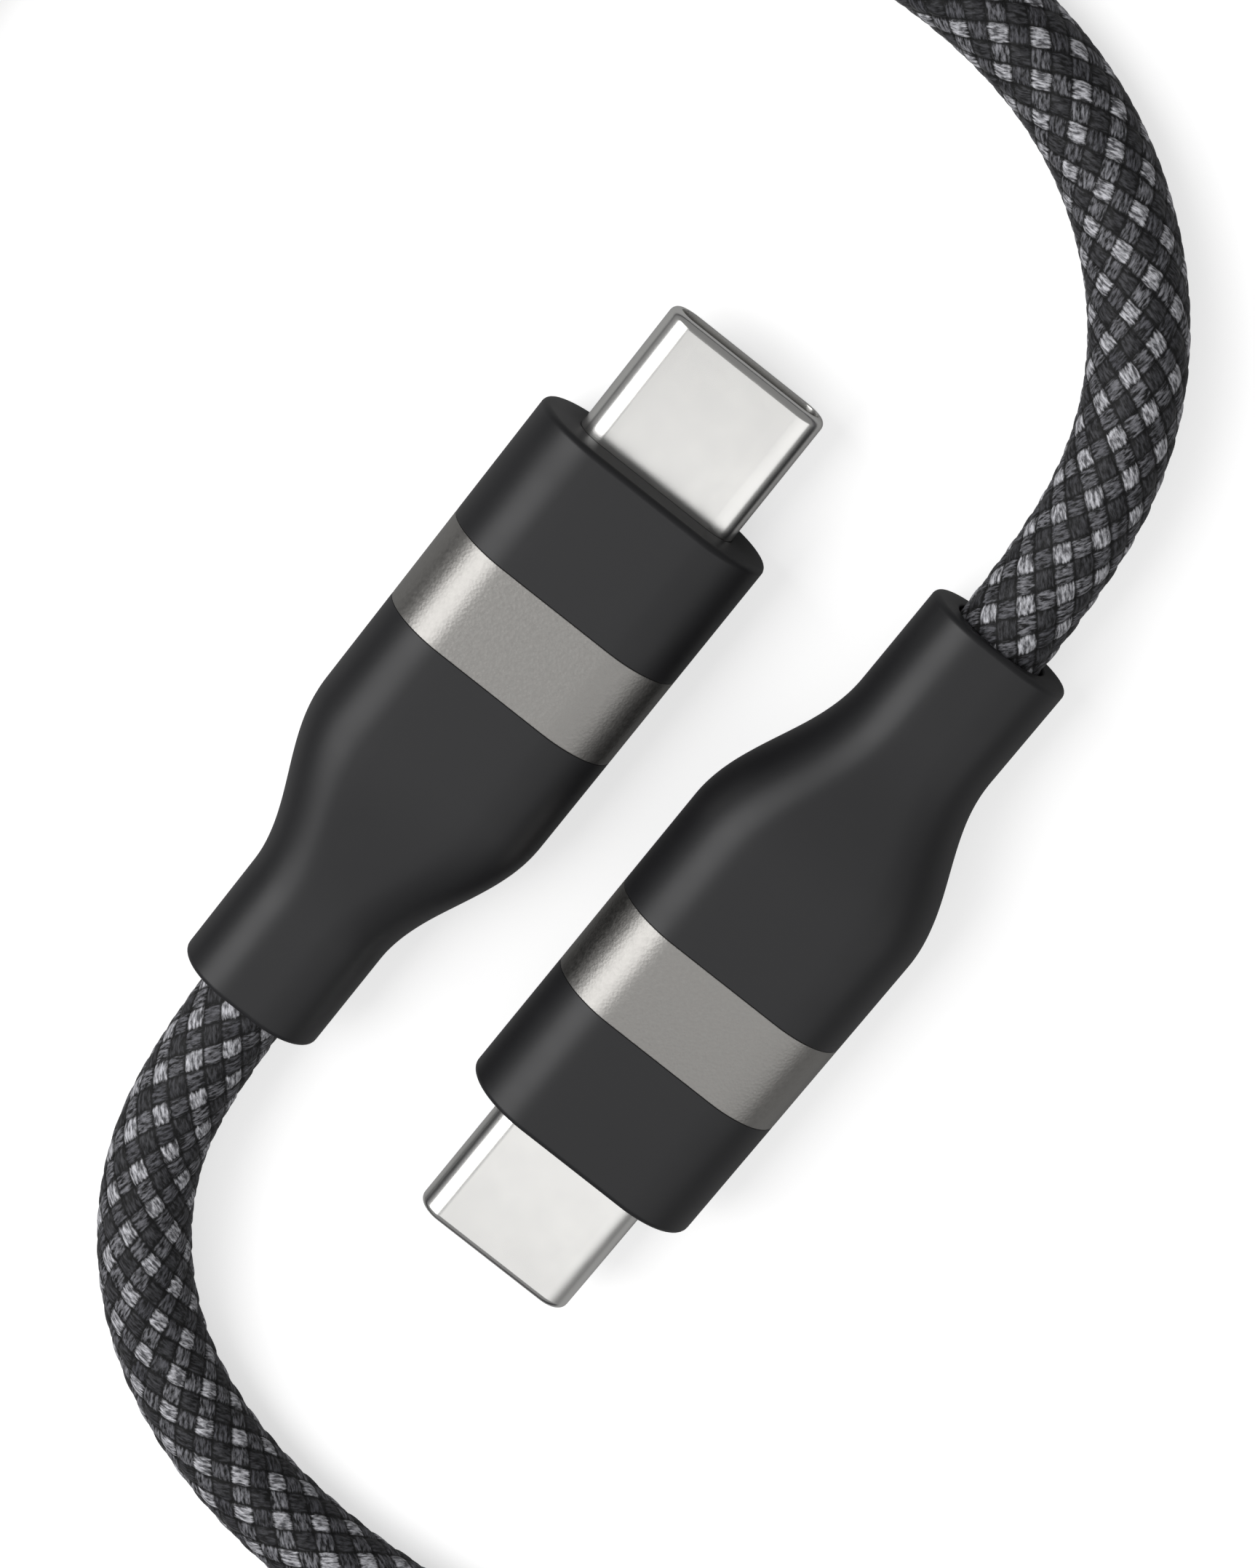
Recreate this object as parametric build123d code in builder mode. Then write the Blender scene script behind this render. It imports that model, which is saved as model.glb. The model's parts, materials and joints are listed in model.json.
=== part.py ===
"""A USB-C to USB-C charging cable, laid on a surface.

Two identical plugs lie side by side, pointing opposite ways. Each has a drawn steel shell, a contact
block with its springs and latches, a small circuit board in a shield, and a black housing with a metal
band. One braided cord joins them, and its spare length lies beside them in a flat coil.

Millimetres. The surface is Z = 0 and the origin is midway between the plugs. A station is a distance
along a plug's axis from the front face of its housing: positive towards the mouth, negative towards
the cord.
"""

import os
from math import cos, pi, radians, sin, tan

from build123d import *

# Where the two plugs lie
plug_turn = 52.0  # plug A's axis, in degrees from +X
plug_side = 7.95  # each axis stands this far to the side of the origin
plug_ahead = 13.1  # and each front face this far ahead of it

# Housing
body_width = 12.1
body_thick = 6.4
body_wall = 0.8
body_length = 30.2
cap_length = 6.5
cap_front_wall = 1.2
cap_round = 0.35
band_length = 4.7
taper_start = 16.2
taper_length = 8.8
taper_sections = 9
neck_wall = 0.4  # over and under the cord
neck_flat = 1.8
neck_round = 0.3

# Steel shell of the plug
shell_width = 8.25
shell_height = 2.40
shell_wall = 0.3
shell_length = 6.65
shell_seat = 3.5  # length held inside the housing
lip_thick = 0.42
lip_length = 0.4
lip_round = 0.3

# Contact block
block_seat = 0.1  # its back stands this far inside the back of the shell
block_front_gap = 0.05
cavity_side = 0.43  # wall beside the cavity
cavity_height = 0.9
contact_margin = 0.5  # between the last contact of a row and the side of the cavity
contact_width = 0.25
contact_thick = 0.15
contact_clear = 0.04  # a straight beam stands this far behind the cavity's wall
contact_tip = 0.8  # its tip stands this far behind the front of the block
contact_bow = (0.4, 0.9, 1.2, 1.9)  # bends of the bow that makes contact, behind the tip
contact_dip = 0.13  # how far the bow stands towards the cavity
contact_tail = 1.6  # length soldered to the board
contact_step = 0.1  # half the length of the step down to the board
contact_bend = 0.05  # the upper side's bends stand this far from the lower side's
upper_pins = (1, 4, 5, 6, 7, 9, 12)
lower_pins = (1, 4, 5, 9, 12)
pin_count = 12
slot_gap = 0.03

# Latch plate and its two side springs
plate_thick = 0.2
plate_side = 0.32  # between its edge and the arms
plate_front = 0.1
latch_thick = 0.15
latch_height = 0.5
latch_room = 0.235  # between the arm and the side of the block
latch_root = -1.3  # station of the bend that it flexes about
latch_nib = 0.22
latch_nib_front = 0.2  # the nib starts this far behind the arm's tip
latch_nib_peak = 0.48  # and is highest this far behind that
latch_nib_length = 0.8
latch_pocket_gap = 0.1
latch_ear_gap = 0.05
latch_tip = 0.7  # its tip stands this far behind the front of the block

# Ground springs
ground_thick = 0.1
ground_edge = 0.325  # between its edge and the end of the block's flat side
ground_length = 3.4
ground_front = 0.8
ground_slots = 3
ground_slot_pitch = 1.3
ground_slot_width = 0.65
ground_slot_length = 1.7

# Circuit board and what is on it
board_thick = 0.7
board_side = 0.2  # between its edge and the shield
board_gap = 0.2  # between the contact block and its front edge
board_length = 7.9
board_round = 0.3
chip_size = 2.0
chip_thick = 0.5
chip_edge = 0.06
chip_station = -7.0
passive_size = (0.5, 1.0, 0.5)
passive_station = -6.6
passive_pitch = 1.1

# Shield around the board
shield_side = 0.225  # how far it stands out from the shell on each side
shield_rise = 0.35  # and above and below it
shield_wall = 0.2
shield_behind = 2.0  # how far it reaches behind the board

# Inner mould
mould_behind = 1.5  # how far it reaches behind the shield

# Cord, its end in the plug and its crimp ring
cord_diameter = 4.4
cord_behind = 2.0  # its jacket starts this far behind the inner mould
cord_inside = 1.2  # and its loose length starts this far inside the neck
cord_clearance = 0.1
crimp_behind = 0.4  # the ring sits this far behind the jacket's start
crimp_length = 2.8
crimp_wall = 0.4

# Wires: name, diameter, distance to the side on the board, side of the board, angle in the cord
wires = (
    ("wire_power", 0.9, 2.6, 1, 18),
    ("wire_ground", 0.9, -2.6, 1, 162),
    ("wire_control", 0.6, 0.0, 1, 90),
    ("wire_data_plus", 0.6, 1.0, -1, -54),
    ("wire_data_minus", 0.6, -1.0, -1, -126),
)
wire_ring = 1.15
wire_solder = 1.9  # length on the board
wire_straight = 0.5  # length behind the board before it bends
wire_bend_radius = 1.5

fit_gap = 0.02  # between pieces that are pushed or moulded together

# Coil of the spare length
coil_centre = (-13.0, -67.5)
coil_radius = 23.3  # to the middle of its turns
coil_lead = 12.0  # a lead stops this far before it touches the coil's outer turn

# The cord's route, by hand: from each plug's neck to the coil
corner_share = 0.45  # an arc may use this share of the shorter run beside it
route_a = (
    (-20.06, -12.76, 3.2),
    (-22.3, -18.9, 2.9),
    (-22.0, -25.5, 2.4),
    (-19.1, -31.4, 2.2),
    (-14.2, -36.3, 2.2),
)
route_b = (
    (19.56, 12.13, 3.2),
    (22.1, 17.6, 2.9),
    (22.5, 23.4, 2.4),
    (20.8, 29.4, 2.2),
    (17.2, 34.4, 2.2),
    (11.6, 38.7, 2.2),
    (4.7, 41.3, 2.2),
    (-3.6, 42.6, 2.2),
    (-12.8, 43.0, 2.2),
    (-22.3, 42.6, 2.2),
    (-29.4, 38.5, 2.2),
    (-33.5, 31.4, 2.2),
    (-35.3, 19.5, 2.2),
    (-36.8, 4.0, 2.2),
    (-37.8, -12.0, 2.2),
    (-38.2, -27.5, 2.3),
    (-38.45, -41.8, 3.8),
)
route_a_turn = 57.0  # where lead A meets the coil, in degrees round it from +X
route_b_turn = 180.0

# Worked out: across
core_width = body_width - 2 * body_wall
core_thick = body_thick - 2 * body_wall
neck_thick = cord_diameter + 2 * (cord_clearance + neck_wall)
neck_width = neck_thick + neck_flat
block_width = shell_width - 2 * (shell_wall + fit_gap)
block_height = shell_height - 2 * (shell_wall + fit_gap)
cavity_width = block_width - 2 * cavity_side
contact_pitch = (cavity_width - 2 * contact_margin - contact_width) / (pin_count - 1)
contact_inner = cavity_height / 2 + contact_clear
latch_offset = block_width / 2 - latch_room - latch_thick  # inner side of the arm, from the axis
plate_width = 2 * (latch_offset - plate_side)
ground_width = block_width - block_height - 2 * ground_edge
shield_width = shell_width + 2 * shield_side
shield_height = shell_height + 2 * shield_rise
board_width = shield_width - 2 * (shield_wall + board_side)
crimp_bore = cord_diameter + 2 * (fit_gap + crimp_wall + fit_gap)
coil_height = cord_diameter * (2 + cos(radians(30)))
coil_second_turn = 1.5 * cord_diameter  # height of the turn that lead B leaves

# Worked out: along, as distances behind the housing's front face, except the block's front
block_front = shell_length - lip_length - block_front_gap
block_back = shell_seat - block_seat
board_front = block_back + board_gap
board_back = board_front + board_length
shield_end = board_back + shield_behind
mould_end = shield_end + mould_behind
cord_end_front = mould_end + cord_behind
cord_end_back = body_length - cord_inside
crimp_front = cord_end_front + crimp_behind
crimp_back = crimp_front + crimp_length


def plug_plane(side):
    """Section plane of a plug: x to its left, y up and z out of its mouth. side is 1 for A, -1 for B."""
    ahead = (cos(radians(plug_turn)), sin(radians(plug_turn)))
    left = (-ahead[1], ahead[0])
    place = [side * (plug_side * l + plug_ahead * a) for l, a in zip(left, ahead)]
    return Plane(
        origin=(*place, body_thick / 2),
        x_dir=(side * left[0], side * left[1], 0),
        z_dir=(side * ahead[0], side * ahead[1], 0),
    )


def plan(plug, height=0.0):
    """Plane through the plug's axis: x to its right, y out of its mouth and z up."""
    return Plane(origin=plug.origin, x_dir=-plug.x_dir, z_dir=(0, 0, 1)).offset(height)


def flank(plug, right=0.0):
    """Upright plane along the plug's axis: x out of its mouth, y up and z to its right."""
    return Plane(origin=plug.origin, x_dir=plug.z_dir, z_dir=-plug.x_dir).offset(right)


def save(block, name):
    block.part.label = name
    export_step(block.part, f"parts/{name}.step")


def make_shell(name, plug):
    whole = shell_seat + shell_length
    with BuildPart() as shell:
        with BuildSketch(plug.offset(-shell_seat)):
            SlotOverall(shell_width, shell_height)
        extrude(amount=whole)
        mouth = shell.faces().sort_by(Axis(plug.origin, plug.z_dir))[-1]
        fillet(mouth.edges(), lip_round)
        with BuildSketch(plug.offset(-shell_seat)):
            SlotOverall(shell_width - 2 * shell_wall, shell_height - 2 * shell_wall)
        extrude(amount=whole - lip_length, mode=Mode.SUBTRACT)
        with BuildSketch(plug.offset(shell_length - lip_length)):
            SlotOverall(shell_width - 2 * lip_thick, shell_height - 2 * lip_thick)
        extrude(amount=lip_length, mode=Mode.SUBTRACT)
    save(shell, f"{name}_shell")


def pin_side(pin):
    """Distance of a contact from the plug's axis, for its number in the row."""
    return (pin - (pin_count + 1) / 2) * contact_pitch


def make_contact_block(name, plug):
    slot_width = contact_width + 2 * slot_gap
    slot_top = contact_inner + contact_thick + slot_gap
    slot_length = block_back + block_front - contact_tip + slot_gap
    pocket_inner = latch_offset - latch_pocket_gap
    pocket_width = block_width / 2 + fit_gap - pocket_inner
    pocket_back = latch_root - latch_thick - latch_pocket_gap
    pocket_front = block_front - latch_tip + latch_pocket_gap
    ground_depth = ground_thick + 2 * fit_gap
    with BuildPart() as block:
        with BuildSketch(plug.offset(-block_back)):
            SlotOverall(block_width, block_height)
        extrude(amount=block_back + block_front)
        with BuildSketch(plug):
            Rectangle(cavity_width, cavity_height)
        extrude(amount=block_front, mode=Mode.SUBTRACT)
        with BuildSketch(plug.offset(-block_back)):
            Rectangle(2 * (latch_offset + latch_thick + fit_gap), plate_thick + 2 * fit_gap)
        extrude(amount=block_back, mode=Mode.SUBTRACT)
        with BuildSketch(plug.offset(-block_back)):
            for row, pins in ((1, upper_pins), (-1, lower_pins)):
                middle = row * (cavity_height / 2 + slot_top) / 2
                with Locations(*[(-row * pin_side(pin), middle) for pin in pins]):
                    Rectangle(slot_width, slot_top - cavity_height / 2)
        extrude(amount=slot_length, mode=Mode.SUBTRACT)
        for side in (1, -1):
            with BuildSketch(plan(plug, -latch_height / 2 - latch_pocket_gap)):
                with Locations((side * (pocket_inner + pocket_width / 2), (pocket_back + pocket_front) / 2)):
                    Rectangle(pocket_width, pocket_front - pocket_back)
            extrude(amount=latch_height + 2 * latch_pocket_gap, mode=Mode.SUBTRACT)
            with BuildSketch(plan(plug, side * (block_height / 2 + fit_gap))):
                with Locations((0, block_front - ground_front - ground_length / 2)):
                    Rectangle(ground_width + 2 * fit_gap, ground_length + 2 * fit_gap)
            extrude(amount=-side * ground_depth, mode=Mode.SUBTRACT)
    save(block, f"{name}_contact_block")


def make_contacts(name, plug, row, pins):
    """One row of contact springs: each runs from its solder tail on the board to its contact point."""
    tip = block_front - contact_tip
    bow = [tip - behind for behind in contact_bow]
    step = -board_front
    low = contact_inner
    rise = contact_thick
    tail = board_thick / 2
    dip = contact_dip
    outline = (
        (tip, low),
        (bow[0], low),
        (bow[1], low - dip),
        (bow[2], low - dip),
        (bow[3], low),
        (step + contact_step, low),
        (step - contact_step, tail),
        (step - contact_tail, tail),
        (step - contact_tail, tail + rise),
        (step - contact_step + contact_bend, tail + rise),
        (step + contact_step + contact_bend, low + rise),
        (bow[3] + contact_bend, low + rise),
        (bow[2] + contact_bend, low - dip + rise),
        (bow[1] - contact_bend, low - dip + rise),
        (bow[0] - contact_bend, low + rise),
        (tip, low + rise),
    )
    with BuildPart() as contacts:
        for pin in pins:
            with BuildSketch(flank(plug, row * pin_side(pin))):
                with BuildLine():
                    Polyline(*[(along, row * up) for along, up in outline], close=True)
                make_face()
            extrude(amount=contact_width / 2, both=True)
    save(contacts, f"{name}_contacts_{'upper' if row > 0 else 'lower'}")


def make_latch_plate(name, plug):
    """Steel plate between the two rows, with an ear behind each side latch."""
    back = -block_back
    ear_front = latch_root - latch_thick / 2 - latch_ear_gap
    with BuildPart() as plate:
        with BuildSketch(plan(plug, -plate_thick / 2)):
            with Locations((0, (back - plate_front) / 2)):
                Rectangle(plate_width, -plate_front - back)
            with Locations((0, (back + ear_front) / 2)):
                Rectangle(2 * (latch_offset + latch_thick), ear_front - back)
        extrude(amount=plate_thick)
    save(plate, f"{name}_latch_plate")


def make_latch(name, plug, side):
    """Side spring that grips the socket's tongue. side is 1 on the plug's right and -1 on its left."""
    inner = latch_offset
    outer = latch_offset + latch_thick
    tip = block_front - latch_tip
    nib = tip - latch_nib_front
    outline = (
        (outer, latch_root),
        (outer, tip),
        (inner, tip),
        (inner, nib),
        (inner - latch_nib, nib - latch_nib_peak),
        (inner, nib - latch_nib_length),
        (inner, latch_root),
    )
    with BuildPart() as latch:
        with BuildSketch(plan(plug, -latch_height / 2)):
            with BuildLine():
                Polyline(*[(side * right, along) for right, along in outline], close=True)
            make_face()
            with Locations((side * (inner + outer) / 2, latch_root)):
                Circle(latch_thick / 2)
        extrude(amount=latch_height)
    save(latch, f"{name}_latch_{'right' if side > 0 else 'left'}")


def make_ground_spring(name, plug, row):
    with BuildPart() as spring:
        with BuildSketch(plan(plug, row * (block_height / 2 - ground_thick))):
            with Locations((0, block_front - ground_front - ground_length / 2)):
                Rectangle(ground_width, ground_length)
                with GridLocations(ground_slot_pitch, 0, ground_slots, 1):
                    Rectangle(ground_slot_width, ground_slot_length, mode=Mode.SUBTRACT)
        extrude(amount=row * ground_thick)
    save(spring, f"{name}_ground_spring_{'upper' if row > 0 else 'lower'}")


def make_board(name, plug):
    with BuildPart() as board:
        with BuildSketch(plan(plug, -board_thick / 2)):
            with Locations((0, -board_front - board_length / 2)):
                RectangleRounded(board_width, board_length, board_round)
        extrude(amount=board_thick)
    save(board, f"{name}_circuit_board")


def make_chip(name, plug):
    with BuildPart() as chip:
        with BuildSketch(plan(plug, board_thick / 2)):
            with Locations((0, chip_station)):
                Rectangle(chip_size, chip_size)
        extrude(amount=chip_thick)
        chamfer(chip.faces().sort_by(Axis.Z)[-1].edges(), chip_edge)
    save(chip, f"{name}_marker_chip")


def make_passives(name, plug):
    """Capacitors beside the chip, as one group."""
    width, length, height = passive_size
    places = [
        (side * (chip_size / 2 + passive_pitch * (step + 0.5)), passive_station)
        for side in (1, -1)
        for step in (0, 1)
    ]
    with BuildPart() as passives:
        with BuildSketch(plan(plug, board_thick / 2)):
            with Locations(*places):
                Rectangle(width, length)
        extrude(amount=height)
    save(passives, f"{name}_capacitors")


def make_shield(name, plug, row):
    """Upper or lower half of the folded steel shield, with its front wall closed round the shell."""
    half = shield_height / 2
    room = half - shield_wall
    front = -cap_front_wall - fit_gap
    with BuildPart() as shield:
        with BuildSketch(plug.offset(-shield_end)):
            with Locations((0, row * half / 2)):
                Rectangle(shield_width, half)
            with Locations((0, row * room / 2)):
                Rectangle(shield_width - 2 * shield_wall, room, mode=Mode.SUBTRACT)
        extrude(amount=shield_end + front)
        with BuildSketch(plug.offset(front - shield_wall)):
            with Locations((0, row * half / 2)):
                Rectangle(shield_width, half)
            SlotOverall(shell_width + 2 * fit_gap, shell_height + 2 * fit_gap, mode=Mode.SUBTRACT)
        extrude(amount=shield_wall)
    save(shield, f"{name}_shield_{'upper' if row > 0 else 'lower'}")


def make_inner_mould(name, plug):
    """Block moulded round the shield, over which the housing slides."""
    with BuildPart() as mould:
        with BuildSketch(plug.offset(-mould_end)):
            SlotOverall(core_width - 2 * fit_gap, core_thick - 2 * fit_gap)
            Rectangle(shield_width + 2 * fit_gap, shield_height + 2 * fit_gap, mode=Mode.SUBTRACT)
        extrude(amount=mould_end - cap_front_wall - fit_gap)
    save(mould, f"{name}_inner_mould")


def make_front_cap(name, plug):
    with BuildPart() as cap:
        with BuildSketch(plug.offset(-cap_length)):
            SlotOverall(body_width, body_thick)
        extrude(amount=cap_length)
        fillet(cap.faces().sort_by(Axis(plug.origin, plug.z_dir))[-1].edges(), cap_round)
        with BuildSketch(plug.offset(-cap_length)):
            SlotOverall(core_width, core_thick)
        extrude(amount=cap_length - cap_front_wall, mode=Mode.SUBTRACT)
        with BuildSketch(plug.offset(-cap_front_wall)):
            SlotOverall(shell_width + 2 * fit_gap, shell_height + 2 * fit_gap)
        extrude(amount=cap_front_wall, mode=Mode.SUBTRACT)
    save(cap, f"{name}_front_cap")


def make_band(name, plug):
    with BuildPart() as band:
        with BuildSketch(plug.offset(-cap_length - band_length)):
            SlotOverall(body_width, body_thick)
            SlotOverall(core_width, core_thick, mode=Mode.SUBTRACT)
        extrude(amount=band_length)
    save(band, f"{name}_metal_band")


def taper_size(share):
    """Width and thickness of the housing at a share of the taper, from the body to the neck."""
    body_share = (1 + cos(pi * share)) / 2
    width = neck_width + (body_width - neck_width) * body_share
    return width, neck_thick + (body_thick - neck_thick) * body_share


def make_rear_housing(name, plug):
    taper_end = taper_start + taper_length
    front = cap_length + band_length
    with BuildPart() as housing:
        with BuildSketch(plug.offset(-taper_start)):
            SlotOverall(body_width, body_thick)
        extrude(amount=taper_start - front)
        for step in range(taper_sections):
            share = step / (taper_sections - 1)
            with BuildSketch(plug.offset(-taper_start - taper_length * share)):
                SlotOverall(*taper_size(share))
        loft()
        with BuildSketch(plug.offset(-body_length)):
            SlotOverall(neck_width, neck_thick)
        extrude(amount=body_length - taper_end)
        fillet(housing.faces().sort_by(Axis(plug.origin, plug.z_dir))[0].edges(), neck_round)
        with BuildSketch(plug.offset(-mould_end)):
            SlotOverall(core_width, core_thick)
        extrude(amount=mould_end - front, mode=Mode.SUBTRACT)
        with BuildSketch(plug.offset(-crimp_back - fit_gap)):
            Circle(crimp_bore / 2)
        extrude(amount=crimp_back + fit_gap - mould_end, mode=Mode.SUBTRACT)
        with BuildSketch(plug.offset(-body_length)):
            Circle(cord_diameter / 2 + cord_clearance)
        extrude(amount=body_length - crimp_back, mode=Mode.SUBTRACT)
    save(housing, f"{name}_rear_housing")


def make_cord_end(name, plug):
    """The cord's last stretch, stripped and held inside the neck."""
    with BuildPart() as end:
        with BuildSketch(plug.offset(-cord_end_back)):
            Circle(cord_diameter / 2)
        extrude(amount=cord_end_back - cord_end_front)
    save(end, f"{name}_cord_end")


def make_crimp(name, plug):
    with BuildPart() as crimp:
        with BuildSketch(plug.offset(-crimp_back)):
            Circle(cord_diameter / 2 + fit_gap + crimp_wall)
            Circle(cord_diameter / 2 + fit_gap, mode=Mode.SUBTRACT)
        extrude(amount=crimp_length)
    save(crimp, f"{name}_crimp_ring")


def make_wire(name, plug, wire):
    label, diameter, right, row, angle = wire
    height = row * (board_thick / 2 + fit_gap + diameter / 2)
    end_right = wire_ring * cos(radians(angle))
    end_height = wire_ring * sin(radians(angle))
    points = (
        (-right, height, -board_back + wire_solder),
        (-right, height, -board_back - wire_straight),
        (-end_right, end_height, -mould_end),
        (-end_right, end_height, -cord_end_front),
    )
    with BuildPart() as core:
        with BuildLine() as path:
            FilletPolyline(*[plug.from_local_coords(p) for p in points], radius=wire_bend_radius)
        with BuildSketch(plug.offset(-board_back + wire_solder)):
            with Locations((-right, height)):
                Circle(diameter / 2)
        sweep(path=path.line)
    save(core, f"{name}_{label}")


def coil_touch(turn, height):
    """The point where a lead touches the coil's outer turn, and where its own tube stops before it."""
    outer = coil_radius + cord_diameter / 2
    out = Vector(cos(radians(turn)), sin(radians(turn)), 0)
    return Vector(*coil_centre, height) + out * outer


def cord_path(plug, route, turn, height, onward):
    """Points of one lead: out of the neck, along its route and up to the coil's outer turn."""
    start = plug.from_local_coords((0, 0, -cord_end_back))
    touch = coil_touch(turn, height)
    along = Vector(-sin(radians(turn)), cos(radians(turn)), 0) * onward
    return [start, *[Vector(*p) for p in route], touch + along * coil_lead]


def corner_radii(points):
    """The largest arc at each corner: a share of its shorter run, over the tangent of half the turn."""
    radii = []
    for before, corner, after in zip(points, points[1:], points[2:]):
        half_turn = radians((corner - before).get_angle(after - corner)) / 2
        shorter = min((corner - before).length, (after - corner).length)
        radii.append(corner_share * shorter / tan(half_turn))
    return radii


def make_cord(name, points):
    radii = corner_radii(points)
    runs = [(b - a).length for a, b in zip(points, points[1:])]
    turns = [
        (b - a).get_angle(c - b) for a, b, c in zip(points, points[1:], points[2:])
    ]
    with BuildPart() as cord:
        with BuildLine() as path:
            FilletPolyline(*points, radius=radii)
        with BuildSketch(Plane(origin=points[0], z_dir=points[1] - points[0])):
            Circle(cord_diameter / 2)
        sweep(path=path.line)
    length = sum(edge.length for edge in path.edges())
    volume = pi * cord_diameter**2 / 4 * length
    print(name, "length", round(length, 1), "volume", round(cord.part.volume / volume, 4))
    print("  runs", [round(x, 1) for x in runs])
    print("  turns", [round(x, 1) for x in turns])
    print("  radii", [round(x, 1) for x in radii])
    save(cord, name)


def make_coil():
    """Outer shape of the coil: two turns side by side in two layers, and one turn on top."""
    width = 2 * cord_diameter
    section = Plane(origin=(*coil_centre, 0), x_dir=(1, 0, 0), z_dir=(0, -1, 0))
    with BuildPart() as coil:
        with BuildSketch(section):
            with Locations((coil_radius, coil_height / 2)):
                RectangleRounded(width, coil_height, cord_diameter / 2)
        revolve(axis=Axis((*coil_centre, 0), (0, 0, 1)))
    save(coil, "cord_coil")


def make_plug(name, plug):
    make_shell(name, plug)
    make_contact_block(name, plug)
    make_contacts(name, plug, 1, upper_pins)
    make_contacts(name, plug, -1, lower_pins)
    make_latch_plate(name, plug)
    for side in (1, -1):
        make_latch(name, plug, side)
        make_ground_spring(name, plug, side)
        make_shield(name, plug, side)
    make_board(name, plug)
    make_chip(name, plug)
    make_passives(name, plug)
    make_inner_mould(name, plug)
    make_front_cap(name, plug)
    make_band(name, plug)
    make_rear_housing(name, plug)
    make_cord_end(name, plug)
    make_crimp(name, plug)
    for wire in wires:
        make_wire(name, plug, wire)


os.makedirs("parts", exist_ok=True)
plug_a = plug_plane(1)
plug_b = plug_plane(-1)
make_plug("plug_a", plug_a)
make_plug("plug_b", plug_b)
make_coil()
make_cord("cord_a", cord_path(plug_a, route_a, route_a_turn, cord_diameter / 2, 1))
make_cord("cord_b", cord_path(plug_b, route_b, route_b_turn, coil_second_turn, -1))
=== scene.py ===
"""A braided charging cable with two black plugs, each with a steel shell and a metal band."""

import json
import math

import bpy
import numpy as np
from mathutils import Euler, Matrix, Vector


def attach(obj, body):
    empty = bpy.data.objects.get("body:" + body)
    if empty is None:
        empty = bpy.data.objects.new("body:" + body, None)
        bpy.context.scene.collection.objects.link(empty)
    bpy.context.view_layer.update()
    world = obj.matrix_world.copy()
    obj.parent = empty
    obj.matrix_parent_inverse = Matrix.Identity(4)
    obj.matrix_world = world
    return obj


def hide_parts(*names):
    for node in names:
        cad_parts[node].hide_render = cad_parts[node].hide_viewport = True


MM = 0.001  # lengths below are in millimetres where nothing else is said
UP = np.array([0.0, 0.0, 1.0])

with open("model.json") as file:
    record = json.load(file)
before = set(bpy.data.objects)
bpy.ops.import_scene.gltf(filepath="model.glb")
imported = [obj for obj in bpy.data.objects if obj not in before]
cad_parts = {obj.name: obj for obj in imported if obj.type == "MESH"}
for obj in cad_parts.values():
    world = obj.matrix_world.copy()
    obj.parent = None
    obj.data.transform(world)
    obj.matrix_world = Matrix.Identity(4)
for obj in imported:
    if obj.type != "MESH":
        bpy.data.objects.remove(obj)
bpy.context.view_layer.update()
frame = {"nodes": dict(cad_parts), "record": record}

# ---------------------------------------------------------------- camera and cord

CAMERA_PLACE = (0.02547, 0.04865, 0.1874)  # metres
CAMERA_TURN = (-14.214, 7.654, -0.309)  # degrees

CORD_DIAMETER = 4.4
CORD_INSIDE = 1.2  # the cord starts this far inside each neck
CURVE_STEPS = 40  # points of the cord's line to a stretch of its spline
NECK_BACK = 30.2  # from a housing's front face back to the end of its neck
SHELL_LENGTH = 6.65  # from a housing's front face to the shell's tip
COIL_CENTRE = (-13.0, -67.5)
COIL_STARTS, COIL_TURNS, COIL_STEPS = 57.0, 4.6583, 24  # degrees, turns, points to a turn
COIL_SHIFT = 0.085  # share of a turn that the cord takes from one lap's place to the next
COIL_PLACES = ((25.5, 2.2), (21.1, 2.2), (21.1, 6.6), (23.3, 10.4), (25.5, 6.6))  # radius, height

# Points of the lead between each plug and the coil, in order from the plug
ROUTE_A = (
    (-20.06, -12.76, 3.2),
    (-22.3, -18.9, 2.9),
    (-22.0, -25.5, 2.4),
    (-19.1, -31.4, 2.2),
    (-14.2, -36.3, 2.2),
    (-9.2, -39.6, 2.2),
)
ROUTE_B = (
    (19.56, 12.13, 3.2),
    (22.1, 17.6, 2.9),
    (22.5, 23.4, 2.4),
    (20.8, 29.4, 2.2),
    (17.2, 34.4, 2.2),
    (11.6, 38.7, 2.2),
    (4.7, 41.3, 2.2),
    (-3.6, 42.6, 2.2),
    (-12.8, 43.0, 2.2),
    (-22.3, 42.6, 2.2),
    (-29.4, 38.5, 2.2),
    (-33.5, 31.4, 2.2),
    (-35.3, 19.5, 2.2),
    (-36.8, 4.0, 2.2),
    (-37.8, -12.0, 2.2),
    (-38.2, -27.5, 2.3),
    (-38.45, -41.8, 3.8),
    (-38.5, -55.5, 6.6),
)


def make_camera():
    """The camera, which looks down on both plugs from some 16 degrees off the upright."""
    lens = bpy.data.cameras.new("camera")
    lens.lens, lens.sensor_width = 100.0, 36.0
    lens.clip_start, lens.clip_end = 0.01, 20.0
    camera = bpy.data.objects.new("camera", lens)
    camera.location = CAMERA_PLACE
    camera.rotation_euler = Euler([math.radians(d) for d in CAMERA_TURN])
    bpy.context.scene.collection.objects.link(camera)
    bpy.context.scene.camera = camera


def plug_frame(name):
    """(origin, ahead, right) of a plug: the middle of its housing's front face, which is the mount's place
    less the shell's length along the mount's axis, and two level directions."""
    mount = next(m for m in frame["record"]["mounts"] if m["name"] == f"usb_c_plug_{name}")
    ahead = np.array(mount["axis"], float)
    return np.array(mount["pos_m"]) - ahead * SHELL_LENGTH * MM, ahead, np.cross(ahead, UP)


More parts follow.
